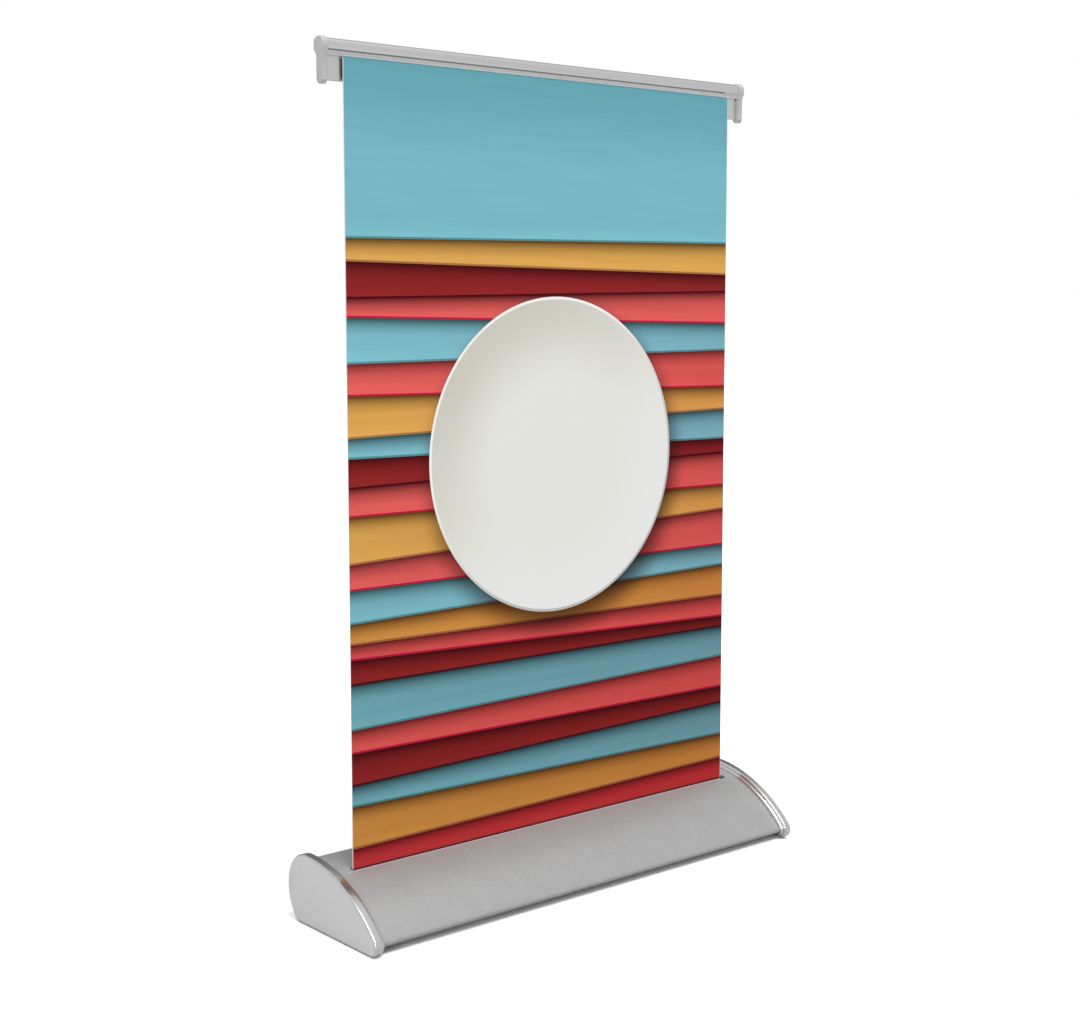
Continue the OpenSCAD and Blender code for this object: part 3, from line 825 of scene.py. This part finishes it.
def make_rail():
    half = RAIL_HIGH.x
    ends = [(-half, GROOVE), (GROOVE_END, GROOVE), (GROOVE_END + 0.2, SHALLOW), (half, SHALLOW)]
    rings = [[(x, y, z) for y, z in rail_outline(depth)] for x, depth in ends]
    add_piece("rail_extrusion", loft(rings), "rail", "rail_aluminium", crease=28, replaces=["top_rail"])
    for side, word in ((-1, "left"), (1, "right")):
        cap = mirrored(along_x(keyhole(), half, RAIL_CAP_HIGH.x), side)
        add_piece(f"{word}_rail_cap", cap, "rail", "rail_cap_grey",
                  rounding=(0.55, 4, 60), crease=35, replaces=[f"rail_cap_{word}"])
    # the tape's dark finish doubles as painted shade in the gap between the film and the rail's skirt
    low, high = TAPE_LOW, TAPE_HIGH
    front, short = low.y + 0.1, 0.25        # at the back of the film, and a little short of its edges
    section = [(front, low.z), (high.y, low.z), (high.y, high.z), (front, high.z)]
    strip = along_x(section, low.x + short, high.x - short)
    add_piece("rail_foam_tape", strip, "rail", "foam_tape", rounding=(0.3, 3, 60), replaces=["rail_tape"])


# ---------------------------------------------------------------- pole

def tube_shape(low, high, radius, bore, chamfer=0.35):
    """A length of tube with broken edges."""
    section = [
        (bore, low + chamfer), (bore + chamfer, low), (radius - chamfer, low), (radius, low + chamfer),
        (radius, high - chamfer), (radius - chamfer, high), (bore + chamfer, high), (bore, high - chamfer),
    ]
    return lathe(section, (0, POLE_Y), closed=True)


def hook_head_shape():
    """The hook's turned head, with shallow grips round it, on the plug that turns in the pole."""
    low, head, top = HOOK_LOW.z, UPPER_HIGH.z + 0.3, HOOK_HIGH.z
    steps, grips = 96, 12
    section = [(2.7, low), (3.1, low + 0.4), (3.1, head), (4.6, head), (5, head + 0.4)]
    section += [(5, top - 1.7), (4.75, top - 1.2), (3.8, top - 0.15), (3.3, top)]
    turns = [2 * pi * k / steps for k in range(steps)]
    rings = []
    for radius, z in section:
        depth = 0.3 if head + 0.2 < z < top - 1 else 0
        reach = [radius - depth * max(0, cos(grips * a)) for a in turns]
        rings.append([(r * cos(a), POLE_Y + r * sin(a), z) for r, a in zip(reach, turns)])
    return loft(rings)


def make_pole():
    lower = tube_shape(POLE_LOW.z, POLE_HIGH.z, POLE_R, POLE_BORE)
    upper = tube_shape(UPPER_LOW.z, UPPER_HIGH.z, POLE_R, POLE_BORE)
    add_piece("lower_tube", lower, "lower_pole", "pole_aluminium", replaces=["lower_pole"])
    add_piece("upper_tube", upper, "upper_pole", "pole_aluminium", replaces=["upper_pole"])
    low, high = FOOT_LOW.z, FOOT_HIGH.z
    plug = [(3.3, low), (3.8, low + 0.2), (4, low + 0.6), (4, low + 1.5), (3.2, low + 1.5), (3.2, high)]
    add_piece("pole_end_plug", lathe(plug, (0, POLE_Y)), "lower_pole", "black_nylon",
              crease=40, replaces=["pole_foot"])
    add_piece("hook_head", hook_head_shape(), "hook", "black_nylon", crease=40, replaces=["pole_hook"])
    front, under, over = HOOK_LOW.y, UPPER_HIGH.z + 4.3, UPPER_HIGH.z + 8
    tongue = [(front, under + 1.0), (front + 0.6, under), (front + 5.6, under), (front + 5.6, over),
              (front + 1.6, over), (front + 1.2, over - 0.5), (front, over - 0.7)]
    add_piece("hook_tongue", along_x(tongue, -5, 5), "hook", "black_nylon",
              rounding=(0.45, 3, 40), crease=40)
    radius = (CORD_HIGH.x - CORD_LOW.x) / 2
    levels = 40
    line = [(radius, CORD_LOW.z + (CORD_HIGH.z - CORD_LOW.z) * k / levels) for k in range(levels + 1)]
    cord = add_piece("elastic_line", lathe(line, (0, POLE_Y), steps=12), "lower_pole", "elastic_cord",
                     replaces=["bungee_cord"])
    cord.parent = None
    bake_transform(cord)


def dress_cad_nodes():
    """Gives every CAD node its finish, also those that are hidden because a piece replaces them."""
    for entry in frame["record"]["subparts"]:
        node = NODES[entry["node"]]
        node.data.materials.clear()
        node.data.materials.append(FINISHES[entry["material_slot"]])


make_base()
make_rail()
make_film()
make_pole()
dress_cad_nodes()
